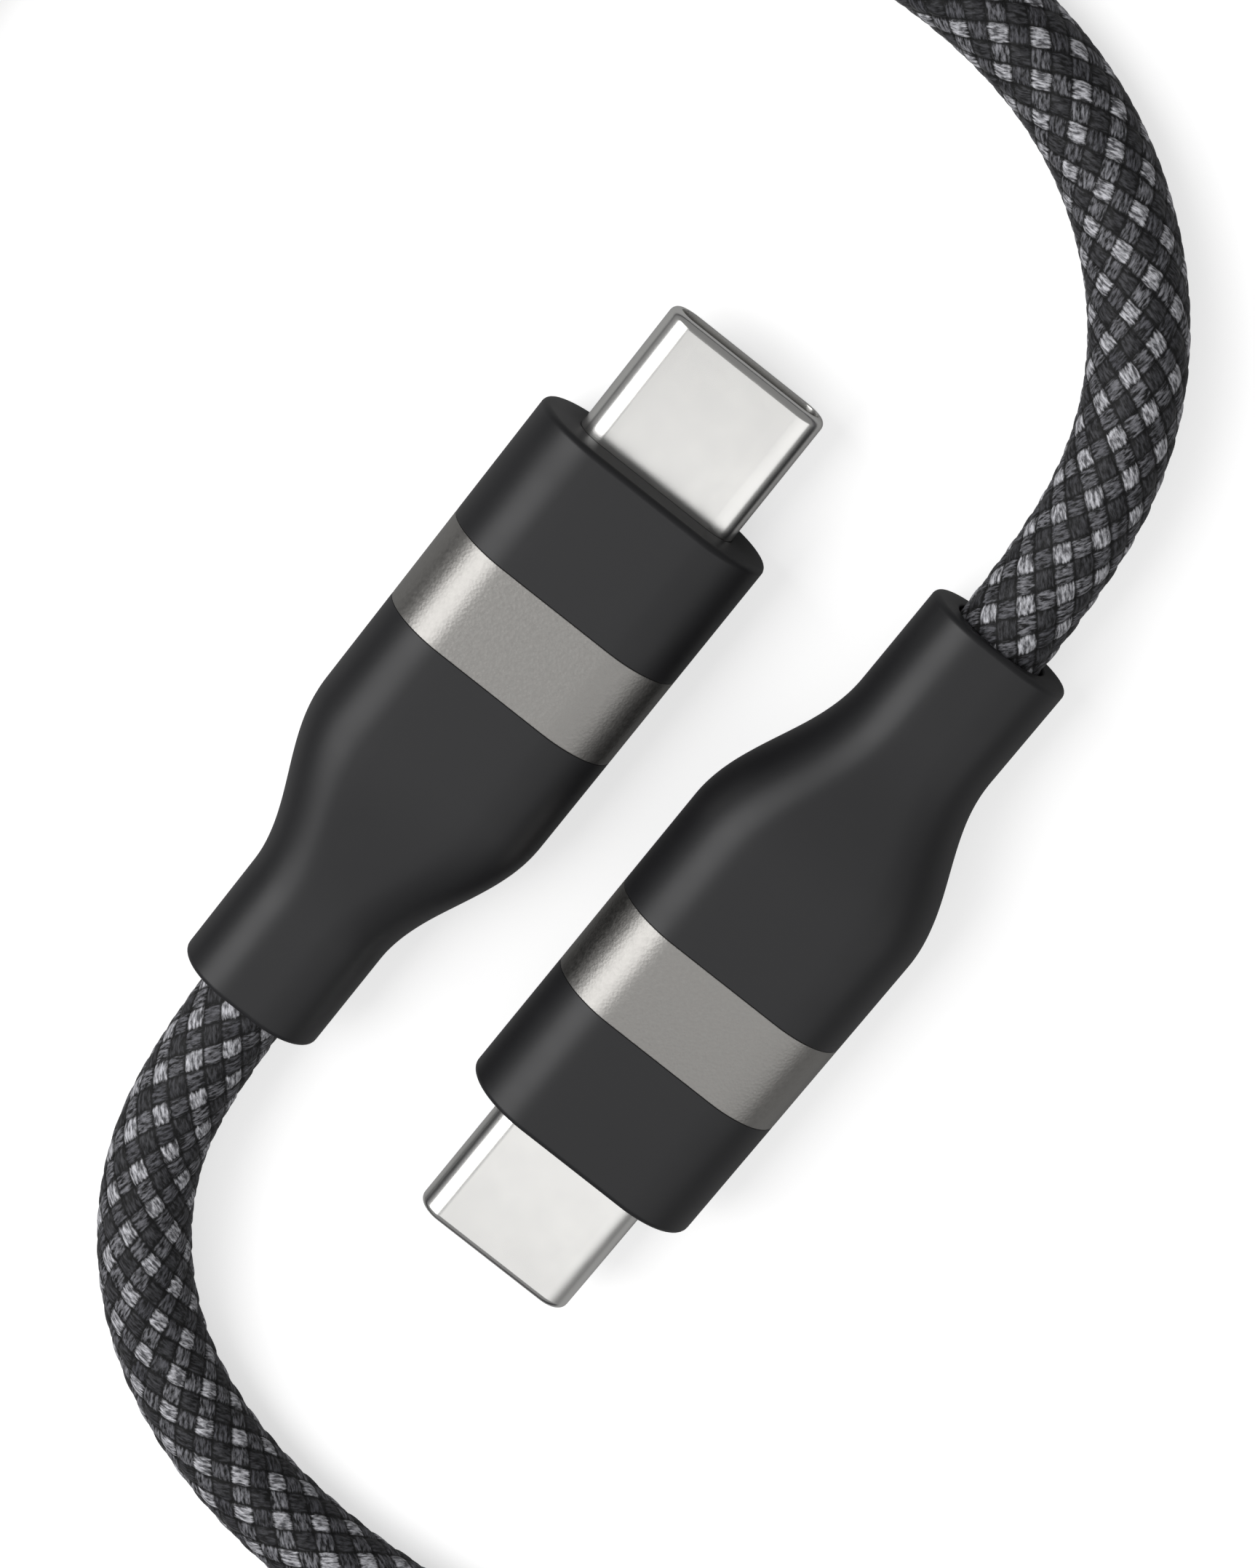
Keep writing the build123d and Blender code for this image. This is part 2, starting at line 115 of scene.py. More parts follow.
def coil_points():
    """Points round the coil. A point is the coil's centre plus a radius turned by an angle. The angle falls
    steadily, and each lap keeps its own radius and height until just before it would meet its own start,
    where both go in a straight line to the next lap's."""
    turns = np.arange(0, COIL_TURNS, 1 / COIL_STEPS)
    lap = 1 - COIL_SHIFT
    starts = [0.0] + [n * lap + COIL_SHIFT for n in range(1, len(COIL_PLACES))]
    ends = [n * lap for n in range(1, len(COIL_PLACES))] + [COIL_TURNS]
    marks = np.ravel(list(zip(starts, ends)))
    radius, height = (
        np.interp(turns, marks, np.repeat([place[k] for place in COIL_PLACES], 2)) for k in (0, 1)
    )
    angle = np.radians(COIL_STARTS) - 2 * np.pi * turns
    return np.stack(
        [COIL_CENTRE[0] + radius * np.cos(angle), COIL_CENTRE[1] + radius * np.sin(angle), height], 1
    )


def cord_line():
    """The cord's own line, from plug A to plug B: the points of one smooth spline of third order, led by
    its route and with an end inside each neck."""
    (place_a, ahead_a, _), (place_b, ahead_b, _) = plug_frame("a"), plug_frame("b")
    depth = (NECK_BACK - CORD_INSIDE) * MM
    route = np.vstack([np.array(ROUTE_A), coil_points(), np.array(ROUTE_B)[::-1]]) * MM
    points = np.vstack([place_a - ahead_a * depth, route, place_b - ahead_b * depth])
    curve = bpy.data.curves.new("cord_line", "CURVE")
    curve.dimensions = "3D"
    spline = curve.splines.new("NURBS")
    spline.points.add(len(points) - 1)
    spline.points.foreach_set("co", np.hstack([points, np.ones((len(points), 1))]).ravel())
    spline.order_u = 3
    spline.use_endpoint_u = True
    spline.resolution_u = CURVE_STEPS
    line = bpy.data.objects.new("cord_line", curve)
    mesh = bpy.data.meshes.new_from_object(line)
    found = np.empty(len(mesh.vertices) * 3)
    mesh.vertices.foreach_get("co", found)
    bpy.data.objects.remove(line)
    bpy.data.meshes.remove(mesh)
    found = found.reshape(-1, 3)
    if np.linalg.norm(found[0] - points[0]) > np.linalg.norm(found[-1] - points[0]):
        found = found[::-1]
    return found


def along(line, distances):
    """Where a line is at some distances along it, with its level right and its up there. Right is the
    line's direction crossed with the world's up, and up is right crossed with the direction."""
    steps = np.linalg.norm(np.diff(line, axis=0), axis=1)
    travelled = np.concatenate([[0], np.cumsum(steps)])
    tangents = np.gradient(line, travelled, axis=0)
    place, ahead = (
        np.stack([np.interp(distances, travelled, part[:, k]) for k in range(3)], 1)
        for part in (line, tangents)
    )
    ahead /= np.linalg.norm(ahead, axis=1, keepdims=True)
    right = np.cross(ahead, UP)
    right /= np.linalg.norm(right, axis=1, keepdims=True)
    return place, right, np.cross(right, ahead)


# ---------------------------------------------------------------- meshes


def new_piece(name, points, faces, material, uv=None, sharp=None):
    """A mesh object from arrays: points, faces as rows of indices, and each corner's place on its map."""
    mesh = bpy.data.meshes.new(name)
    mesh.from_pydata(points.tolist(), [], [row for group in faces for row in group.tolist()])
    if uv is not None:
        mesh.uv_layers.new(name="lay").uv.foreach_set("vector", uv.astype(np.float32).ravel())
    mesh.shade_smooth()
    if sharp is not None:
        mesh.set_sharp_from_angle(angle=math.radians(sharp))
    mesh.materials.append(material)
    piece = bpy.data.objects.new(name, mesh)
    bpy.context.scene.collection.objects.link(piece)
    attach(piece, "cable")
    return piece


def slot_ring(count=28, level=8):
    """Turn and side of each point round a slot: half circles of count steps, and straight sides of level
    steps. Side goes from 1 on the right half circle to -1 on the left one."""
    half = np.linspace(-90, 90, count + 1)
    straight = np.linspace(1, -1, level + 1)[1:-1]
    turn = np.concatenate([half, np.full(level - 1, 90.0), half + 180, np.full(level - 1, 270.0)])
    side = np.concatenate([np.ones(count + 1), straight, -np.ones(count + 1), -straight])
    return np.radians(turn), side


SHARP_FROM = 40  # degrees: edges of a solid that turn by more than this stay sharp


def slot_solid(name, plug, profile, material):
    """A closed solid along a plug, with a slot for its section. Each row of the profile is a station ahead
    of the housing's front face, a width and a height. A point of that ring is the middle of its half circle
    plus a radius turned by its angle. The last ring joins the first, so the profile goes out along the
    outside and back inside."""
    origin, ahead, right = plug
    turn, side = slot_ring()
    station, width, height = (np.array(profile)[:, k, None] * MM for k in range(3))
    across = side * (width - height) / 2 + height / 2 * np.cos(turn)
    rise = height / 2 * np.sin(turn)
    points = origin + station[..., None] * ahead + across[..., None] * right + rise[..., None] * UP
    rings, count = across.shape
    row, step = np.meshgrid(np.arange(rings), np.arange(count), indexing="ij")
    corners = ((row, step), (row, step + 1), (row + 1, step + 1), (row + 1, step))
    faces = np.stack([(r % rings) * count + s % count for r, s in corners], -1).reshape(-1, 4)
    piece = new_piece(name, points.reshape(-1, 3), [faces], material, sharp=SHARP_FROM)
    weighted = piece.modifiers.new("flat faces", "WEIGHTED_NORMAL")
    weighted.keep_sharp = True
    return piece


def rounded(station, width, height, radius, towards, steps=6):
    """Rings round a slot's outer edge: a quarter circle from its side to its end face."""
    turn = np.radians(np.linspace(0, 90, steps + 1))
    inset = radius * (1 - np.cos(turn))
    return [
        (station + towards * radius * (math.sin(t) - 1), width - 2 * i, height - 2 * i)
        for t, i in zip(turn, inset)
    ]


def inner_edge(station, width, height, radius, towards, steps=3):
    """Rings round a bore's edge: a quarter circle from the end face into the bore."""
    turn = np.radians(np.linspace(90, 0, steps + 1))
    return [
        (
            station - towards * radius * (1 - math.sin(t)),
            width + 2 * radius * (1 - math.cos(t)),
            height + 2 * radius * (1 - math.cos(t)),
        )
        for t in turn
    ]


# Housing: sections are (width, height), and places along it are distances back from its front face
BODY = (12.1, 6.4)
CORE = (10.5, 4.8)  # the hollow inside the cap, the band and the front of the rear housing
NECK = (7.2, 5.4)
SHELL = (8.25, 2.40)
CAP_LENGTH, BAND_LENGTH = 6.5, 4.7
CAP_WALL, CAP_ROUND = 1.2, 0.3
SEAM, SEAM_STEPS = 0.05, 2  # radius of the edges on both sides of a seam
HOLE_GAP, HOLE_ROUND = 0.04, 0.06  # the cap's hole round the shell
TAPER_START, TAPER_LENGTH, TAPER_STEPS = 16.2, 8.8, 44
MOULD_END, CRIMP_BACK = 15.0, 20.2
CRIMP_BORE, CORD_BORE, BORE_ROUND = 5.28, 4.6, 0.12
NECK_ROUND = 0.3
SHELL_SEAT, SHELL_WALL = 3.5, 0.3  # how far the shell goes on inside the cap, and its sheet
LIP_WALL, LIP_LENGTH, LIP_ROUND, LIP_STEPS, MOUTH_ROUND = 0.42, 0.4, 0.37, 8, 0.05


def shell_profile():
    """The shell from its seat to its tip, round the rolled lip and back inside: the lip is thicker than the
    sheet over its own length."""
    inside = [size - 2 * SHELL_WALL for size in SHELL]
    mouth = [size - 2 * LIP_WALL for size in SHELL]
    return [
        (-SHELL_SEAT, *SHELL),
        (0.0, *SHELL),
        *rounded(SHELL_LENGTH, *SHELL, LIP_ROUND, 1, LIP_STEPS),
        *inner_edge(SHELL_LENGTH, *mouth, MOUTH_ROUND, 1),
        (SHELL_LENGTH - LIP_LENGTH, *mouth),
        (SHELL_LENGTH - LIP_LENGTH, *inside),
        (-SHELL_SEAT, *inside),
    ]


def cap_profile():
    """The front cap: a body's section with rounded edges, a wall in front with the shell's hole, and the
    hollow core behind it."""
    hole = [size + HOLE_GAP for size in SHELL]
    return [
        *rounded(-CAP_LENGTH, *BODY, SEAM, -1, SEAM_STEPS)[::-1],
        *rounded(0.0, *BODY, CAP_ROUND, 1),
        *inner_edge(0.0, *hole, HOLE_ROUND, 1),
        (-CAP_WALL, *hole),
        (-CAP_WALL, *CORE),
        (-CAP_LENGTH, *CORE),
    ]


def band_profile():
    """The metal band: a plain ring with small rounded edges."""
    back = -CAP_LENGTH - BAND_LENGTH
    return [
        *rounded(back, *BODY, SEAM, -1, SEAM_STEPS)[::-1],
        *rounded(-CAP_LENGTH, *BODY, SEAM, 1, SEAM_STEPS),
        (-CAP_LENGTH, *CORE),
        (back, *CORE),
    ]


def rear_profile():
    """The housing's back part, with stepped bores for the mould, the crimp and the cord. In its taper,
    width and height fall from body to neck by half a cosine."""
    share = np.linspace(1, 0, TAPER_STEPS + 1)
    body_share = (1 + np.cos(np.pi * share)) / 2
    taper = [
        (-TAPER_START - TAPER_LENGTH * s, *(n + (b - n) * k for b, n in zip(BODY, NECK)))
        for s, k in zip(share, body_share)
    ]
    return [
        *rounded(-NECK_BACK, *NECK, NECK_ROUND, -1)[::-1],
        *taper,
        *rounded(-CAP_LENGTH - BAND_LENGTH, *BODY, SEAM, 1, SEAM_STEPS),
        (-CAP_LENGTH - BAND_LENGTH, *CORE),
        (-MOULD_END, *CORE),
        (-MOULD_END, CRIMP_BORE, CRIMP_BORE),
        (-CRIMP_BACK, CRIMP_BORE, CRIMP_BORE),
        (-CRIMP_BACK, CORD_BORE, CORD_BORE),
        *inner_edge(-NECK_BACK, CORD_BORE, CORD_BORE, BORE_ROUND, -1)[::-1],
    ]


# Braid: the cord's sleeve
TOWS = 12  # each way round
BRAID_PITCHES = (18.0, 16.2)  # length of cord in which a tow goes once round, by plug A and by plug B
RELIEF = 0.10  # millimetres for one unit of the braid's height
WAVE, CROWN_LEFT, CROWN_RIGHT = 0.7, 0.95, 0.75  # height of a tow's wave, and of each lay's back
BRAID_FOOT = CORD_DIAMETER / 2 - RELIEF * (WAVE + CROWN_LEFT)  # the sleeve's radius at height 0
BRAID_TURN = 0.02  # share of a turn that the whole pattern is turned by
TINY = 1e-6  # tows: how far to each side of a gap its height is looked up
JACKET_INSET = 0.28  # from the sleeve's highest crowns down to the jacket
SHOWN = 62.0  # length of the sleeve by each plug, which has the finer mesh
FINE, COARSE = 6, 3  # vertices to a tow


def braid_height(left, right):
    """Height of the braid at a place, given as tows counted across the left-laid and the right-laid ones.
    A tow goes up and down by a cosine as it passes over and under. Its own back is a flattened half ellipse,
    the root of one less the fourth power of twice the distance from its middle. The surface is the higher of
    the two tows that cross there."""
    i, j = np.floor(left), np.floor(right)
    x, y = left - i - 0.5, right - j - 0.5
    over = 1 - 2 * np.mod(i + j, 2)
    crown_x, crown_y = (np.sqrt(np.clip(1 - (2 * t) ** 4, 0, 1)) for t in (x, y))
    left_laid = over * WAVE * np.cos(np.pi * y) + CROWN_LEFT * crown_x
    right_laid = -over * WAVE * np.cos(np.pi * x) + CROWN_RIGHT * crown_y
    return np.maximum(left_laid, right_laid)


def pitch_growth(total):
    """How much the braid's pitch grows in each turn: its whole change over all the turns in a cord, which
    are the cord's length over the mean pitch."""
    first, last = BRAID_PITCHES
    return (last - first) / (2 * total / (first + last))


def lays_to(distance, total):
    """Turns of a tow from the start of a cord to a distance along it. The distance is the first pitch times
    the turns plus half the growth times their square, and this is that law solved for the turns."""
    first, growth = BRAID_PITCHES[0], pitch_growth(total)
    return (math.sqrt(first * first + 2 * growth * distance) - first) / growth


def braid_piece(name, line, start, end, fineness, material):
    """A stretch of the sleeve as a closed tube. Its vertices stand where lines along the tows cross,
    fineness of them to a tow, so the rows are staggered by half a step and each face is a diamond. A vertex
    is the cord's middle plus the braid's radius there, turned round the cord. On its map, a place is its
    share of a turn round the cord and the turns that a tow has made so far."""
    total = np.linalg.norm(np.diff(line, axis=0), axis=1).sum() / MM
    count = TOWS * fineness
    first, last = (int(round(lays_to(d, total) * 2 * count)) for d in (start, end))
    row, step = np.meshgrid(np.arange(first, last + 1), np.arange(count), indexing="ij")
    half = (row % 2) / 2
    round_share = (step + half) / count
    along_share = row / (2 * count)
    left, right = TOWS * (round_share - along_share), TOWS * (round_share + along_share)
    height = np.maximum(braid_height(left - TINY, right - TINY), braid_height(left + TINY, right + TINY))
    radius = (BRAID_FOOT + RELIEF * height) * MM
    lays = along_share[:, 0]
    distance = lays * (BRAID_PITCHES[0] + pitch_growth(total) * lays / 2)
    place, side, up = along(line, np.clip(distance, 0, total) * MM)
    turn = 2 * np.pi * (round_share + BRAID_TURN)
    points = place[:, None] + radius[..., None] * (
        np.cos(turn)[..., None] * side[:, None] + np.sin(turn)[..., None] * up[:, None]
    )
    rows = len(distance)
    r, s = np.meshgrid(np.arange(rows - 2), np.arange(count), indexing="ij")
    odd = (r + first) % 2
    unwrapped = [(r, s), (r + 1, s + odd), (r + 2, s), (r + 1, s - 1 + odd)]
    faces = np.stack([a * count + b % count for a, b in unwrapped], -1).reshape(-1, 4)
    uv = np.stack(
        [
            np.stack([(b + ((a + first) % 2) / 2) / count, (a + first) / (2 * count)], -1)
            for a, b in unwrapped
        ],
        -2,
    ).reshape(-1, 2)
    ends = []
    for edge, inner, flip in ((0, 1, False), (rows - 1, rows - 2, True)):
        middle = rows * count + (edge > 0)
        s = np.arange(count)
        odd = (first + edge) % 2
        near, before = edge * count + s, inner * count + (s - 1 + odd) % count
        after = inner * count + (s + odd) % count
        middles = np.full(count, middle)
        pair = np.concatenate(
            [np.stack([near, before, middles], -1), np.stack([after, near, middles], -1)]
        )
        ends.append(pair[:, ::-1] if flip else pair)
    points = np.vstack([points.reshape(-1, 3), place[:1], place[-1:]])
    uv = np.vstack([uv, np.zeros((3 * sum(len(e) for e in ends), 2))])
    return new_piece(name, points, [faces, *ends], material, uv=uv)


def tube(name, line, radius, material, round_steps=16, spacing=1.2):
    """A plain round tube along a line, with closed ends. A point is the line's plus a radius turned round
    it, and the rings are a steady spacing apart."""
    total = np.linalg.norm(np.diff(line, axis=0), axis=1).sum()
    distance = np.linspace(0, total, int(total / (spacing * MM)))
    place, side, up = along(line, distance)
    turn = 2 * np.pi * np.arange(round_steps) / round_steps
    ring = np.cos(turn)[:, None, None] * side + np.sin(turn)[:, None, None] * up
    points = (place + radius * MM * ring).transpose(1, 0, 2).reshape(-1, 3)
    rows = len(distance)
    r, s = np.meshgrid(np.arange(rows - 1), np.arange(round_steps), indexing="ij")
    n = (s + 1) % round_steps
    corners = ((r, s), (r, n), (r + 1, n), (r + 1, s))
    faces = np.stack([a * round_steps + b for a, b in corners], -1).reshape(-1, 4)
    caps = np.stack([np.arange(round_steps)[::-1], (rows - 1) * round_steps + np.arange(round_steps)])
    return new_piece(name, points, [faces, caps], material)


# ---------------------------------------------------------------- materials


def linear(hex_colour):
    """An sRGB hex colour as linear RGBA."""
    parts = [int(hex_colour[k : k + 2], 16) / 255 for k in (1, 3, 5)]
    return (*(c / 12.92 if c <= 0.04045 else ((c + 0.055) / 1.055) ** 2.4 for c in parts), 1.0)


def add(tree, kind, *feeds, named=None, **settings):
    """Adds a node with its settings, and what feeds its inputs, in order or by name: a node, a socket or a
    value."""
    node = tree.nodes.new("ShaderNode" + kind)
    for key, value in settings.items():
        setattr(node, key, value)
    in_order = zip([s for s in node.inputs if s.enabled], feeds)
    by_name = ((node.inputs[key], value) for key, value in (named or {}).items())
    for socket, feed in [*in_order, *by_name]:
        if isinstance(feed, bpy.types.Node):
            feed = next(s for s in feed.outputs if s.enabled)
        if isinstance(feed, bpy.types.NodeSocket):
            tree.links.new(feed, socket)
        elif feed is not None:
            socket.default_value = feed
    return node


def new_material(name):
    """An empty material, with its node tree and output."""
    material = bpy.data.materials.new(name)
    material.use_nodes = True
    tree = material.node_tree
    tree.nodes.clear()
    return material, tree, tree.nodes.new("ShaderNodeOutputMaterial")


def finish_material(tree, output, named):
    """Adds a surface shader with what feeds its named inputs, and joins it to the output."""
    shader = add(tree, "BsdfPrincipled", named=named)
    tree.links.new(shader.outputs[0], output.inputs["Surface"])


def soft_touch():
    """Black polycarbonate with a soft-touch lacquer. The lacquer scatters, so highlights are broad and dim,
    and a fine orange peel, about 0.4 mm across, breaks them up a little."""
    material, tree, output = new_material("soft_touch_black")
    place = add(tree, "TexCoord").outputs["Object"]
    peel = add(tree, "TexNoise", named={"Vector": place, "Scale": 1 / (0.4 * MM), "Detail": 2.0})
    cloud = add(tree, "TexNoise", named={"Vector": place, "Scale": 1 / (3 * MM), "Detail": 3.0})
    tone = add(tree, "Mix", cloud, linear("#1f1f21"), linear("#232325"), data_type="RGBA")
    rough = add(tree, "MapRange", cloud, 0.3, 0.7, 0.40, 0.46)
    bump = add(tree, "Bump", named={"Height": peel, "Strength": 0.08, "Distance": 0.02 * MM})
    finish_material(
        tree, output, {"Base Color": tone, "Roughness": rough, "Normal": bump, "Specular IOR Level": 0.5}
    )
    return material


def blasted_band():
    """Titanium-coloured anodised aluminium, bead blasted with grit of about 0.1 mm, drawn 0.14 mm so that it
    shows. Each pit tilts the surface a little, which gives a fine sparkle beside the highlight."""
    material, tree, output = new_material("bead_blasted_aluminium")
    place = add(tree, "TexCoord").outputs["Object"]
    grit = add(tree, "TexVoronoi", named={"Vector": place, "Scale": 1 / (0.14 * MM)})
    grain = add(tree, "TexNoise", named={"Vector": place, "Scale": 1 / (0.2 * MM), "Detail": 2.0})
    tone = add(tree, "Mix", grain, linear("#94928f"), linear("#a6a4a1"), data_type="RGBA")
    rough = add(tree, "MapRange", grain, 0.3, 0.7, 0.34, 0.42)
    pits = {"Height": grit.outputs["Distance"], "Strength": 0.25, "Distance": 0.02 * MM}
    bump = add(tree, "Bump", named=pits)
    finish_material(tree, output, {"Base Color": tone, "Metallic": 1.0, "Roughness": rough, "Normal": bump})
    return material


def polished_nickel():
    """Drawn steel with a polished nickel plate, which is not a full mirror: it reflects with a soft blur, so
    lights show on it as broad bright bands. Its tone and its blur drift a little over some 1.5 mm."""
    material, tree, output = new_material("polished_nickel_plate")
    place = add(tree, "TexCoord").outputs["Object"]
    cloud = add(tree, "TexNoise", named={"Vector": place, "Scale": 1 / (1.5 * MM), "Detail": 3.0})
    tone = add(tree, "Mix", cloud, linear("#edece9"), linear("#f2f1ef"), data_type="RGBA")
    rough = add(tree, "MapRange", cloud, 0.3, 0.7, 0.21, 0.25)
    finish_material(tree, output, {"Base Color": tone, "Metallic": 1.0, "Roughness": rough})
    return material


ROUGHNESS_DRIFT = 0.04


def plain(name, dark, light, grain, roughness, metallic=0.0, bump=0.0):
    """A finish whose colour and roughness drift between two values over a grain given in millimetres."""
    material, tree, output = new_material(name)
    place = add(tree, "TexCoord").outputs["Object"]
    noise = add(tree, "TexNoise", named={"Vector": place, "Scale": 1 / (grain * MM), "Detail": 3.0})
    tone = add(tree, "Mix", noise, linear(dark), linear(light), data_type="RGBA")
    rough = add(
        tree, "MapRange", noise, 0.3, 0.7, roughness - ROUGHNESS_DRIFT, roughness + ROUGHNESS_DRIFT
    )
    height = add(tree, "Bump", named={"Height": noise, "Strength": bump, "Distance": 0.03 * MM})
    finish_material(
        tree, output, {"Base Color": tone, "Metallic": metallic, "Roughness": rough, "Normal": height}
    )
    return material


BUNDLES, CRIMPS = 7.0, 1.9  # streaks across a tow, and along it between two crossings
LAYS_APART = 50.0  # takes the left-laid tows to another part of the noise
TOW_EDGE = 0.04  # half the height over which one tow gives way to the other
PAINTED_GLINTS = (0.40, 0.64)  # noise at which a streak's painted glint begins, and at which it is full
FRAY, FRAY_HEIGHTS = 0.9, (1.05, 1.55)  # noise added to the height, and where a tow comes out of the painted shade
RAG, RAG_SIDES = -0.30, (0.20, 0.35)  # noise taken from the distance to a block's middle, and where the painted shade at its edge comes in


def braid():
    """Textured polyester yarn, charcoal with every second left-laid tow lighter. Each tow shows some seven
    bundles of crimped filaments, 0.12 mm apart and with a crimp each 0.5 mm, drawn as short streaks along
    it: partly the yarn's own streaky tone, partly painted glints and painted shade between the bundles. A
    filament of its own, of some 0.02 mm, is too fine to show. Where two tows cross, the upper one makes a
    block with frayed edges; painted shade darkens these edges and the gaps between tows, where little
    light gets in."""
    material, tree, output = new_material("braided_polyester")
    split = add(tree, "SeparateXYZ", add(tree, "UVMap", uv_map="lay"))
    u, v = split.outputs["X"], split.outputs["Y"]
    left = add(tree, "Math", add(tree, "Math", u, v, operation="SUBTRACT"), TOWS, operation="MULTIPLY")
    right = add(tree, "Math", add(tree, "Math", u, v, operation="ADD"), TOWS, operation="MULTIPLY")
    i = add(tree, "Math", left, operation="FLOOR")
    j = add(tree, "Math", right, operation="FLOOR")
    parity = add(tree, "Math", add(tree, "Math", i, j, operation="ADD"), 2.0, operation="FLOORED_MODULO")
    over = add(tree, "Math", parity, -2.0, 1.0, operation="MULTIPLY_ADD")

    def tow(number, other, other_floor, own_floor, crown, sign):
        """Height of one tow: a cosine wave along itself, and its back across itself, which is a flattened
        half ellipse, the root of one less the fourth power of twice the distance from its middle."""
        own_share = add(tree, "Math", number, own_floor, operation="SUBTRACT")
        across = add(tree, "Math", own_share, 0.5, operation="SUBTRACT")
        other_share = add(tree, "Math", other, other_floor, operation="SUBTRACT")
        lengthways = add(tree, "Math", other_share, 0.5, operation="SUBTRACT")
        half_turn = add(tree, "Math", lengthways, math.pi, operation="MULTIPLY")
        wave = add(tree, "Math", half_turn, operation="COSINE")
        up_or_down = add(tree, "Math", wave, over, operation="MULTIPLY")
        lift = add(tree, "Math", up_or_down, sign * WAVE, operation="MULTIPLY")
        square = add(tree, "Math", across, across, operation="MULTIPLY")
        fourth = add(tree, "Math", square, 2.0, operation="POWER")
        rest = add(tree, "Math", fourth, -(2.0**4), 1.0, operation="MULTIPLY_ADD", use_clamp=True)
        back = add(tree, "Math", rest, operation="SQRT")
        return add(tree, "Math", back, crown, lift, operation="MULTIPLY_ADD")

    high_left = tow(left, right, j, i, CROWN_LEFT, 1)
    high_right = tow(right, left, i, j, CROWN_RIGHT, -1)
    lead = add(tree, "Math", high_left, high_right, operation="SUBTRACT")
    left_shows = add(tree, "MapRange", lead, -TOW_EDGE, TOW_EDGE, 0.0, 1.0)
    height = add(tree, "Math", high_left, high_right, operation="MAXIMUM")
    across = add(tree, "Mix", left_shows, right, left)
    lengthways = add(tree, "Mix", left_shows, left, right)
    yarn = add(
        tree,
        "CombineXYZ",
        add(tree, "Math", across, BUNDLES, operation="MULTIPLY"),
        add(tree, "Math", lengthways, CRIMPS, operation="MULTIPLY"),
        add(tree, "Math", left_shows, LAYS_APART, operation="MULTIPLY"),
    )
    streak = add(tree, "TexNoise", named={"Vector": yarn, "Scale": 1.0, "Detail": 3.0, "Roughness": 0.62})
    # Painted light: the streak noise takes each tow from dark between its bundles to bright where they glint,
    # partly the yarn's own tone, partly painted shade and painted highlights.
    painted_glint = add(tree, "MapRange", streak, *PAINTED_GLINTS, 0.0, 1.0)
    every_second = add(tree, "Math", i, 2.0, operation="FLOORED_MODULO")
    light_tow = add(tree, "Math", every_second, left_shows, operation="MULTIPLY")
    block = add(tree, "TexWhiteNoise", add(tree, "CombineXYZ", i, j, left_shows), noise_dimensions="3D")
    lot = block.outputs["Value"]
    crossing = add(tree, "Mix", lot, linear("#58585e"), linear("#a0a0a6"), data_type="RGBA")
    under = add(tree, "Mix", left_shows, crossing, linear("#4c4c50"), data_type="RGBA")
    dark = add(tree, "Mix", painted_glint, linear("#0c0c0e"), under, data_type="RGBA")
    light = add(tree, "Mix", painted_glint, linear("#58585c"), linear("#e6e6ec"), data_type="RGBA")
    yarn_tone_and_glints = add(tree, "Mix", light_tow, dark, light, data_type="RGBA")
    # Painted shade: the low places between tows and the edges of each block go to near black, standing in for
    # the shade between tows.
    frayed = add(tree, "Math", streak, FRAY, height, operation="MULTIPLY_ADD")
    out_of_gap_shade = add(tree, "MapRange", frayed, *FRAY_HEIGHTS, 0.0, 1.0)
    sides = []
    for number in (left, right):
        share = add(tree, "Math", number, operation="FRACT")
        offset = add(tree, "Math", share, 0.5, operation="SUBTRACT")
        sides.append(add(tree, "Math", offset, operation="ABSOLUTE"))
    from_middle = add(tree, "Math", *sides, operation="MAXIMUM")
    ragged = add(tree, "Math", streak, RAG, from_middle, operation="MULTIPLY_ADD")
    clear_of_edge_shade = add(tree, "MapRange", ragged, *RAG_SIDES, 1.0, 0.0)
    depth = add(tree, "Math", out_of_gap_shade, clear_of_edge_shade, operation="MULTIPLY")
    # Near black #040405 is the painted shade; the yarn's tone shows where there is none.
    tone = add(tree, "Mix", depth, linear("#040405"), yarn_tone_and_glints, data_type="RGBA")
    bump = add(tree, "Bump", named={"Height": streak, "Strength": 0.8, "Distance": 0.06 * MM})
    finish_material(
        tree,
        output,
        {
            "Base Color": tone,
            "Roughness": 0.62,
            "Normal": bump,
            "Specular IOR Level": 0.35,
            "Sheen Weight": 0.15,
            "Sheen Roughness": 0.4,
        },
    )
    return material


# ---------------------------------------------------------------- the object

make_camera()
line = cord_line()

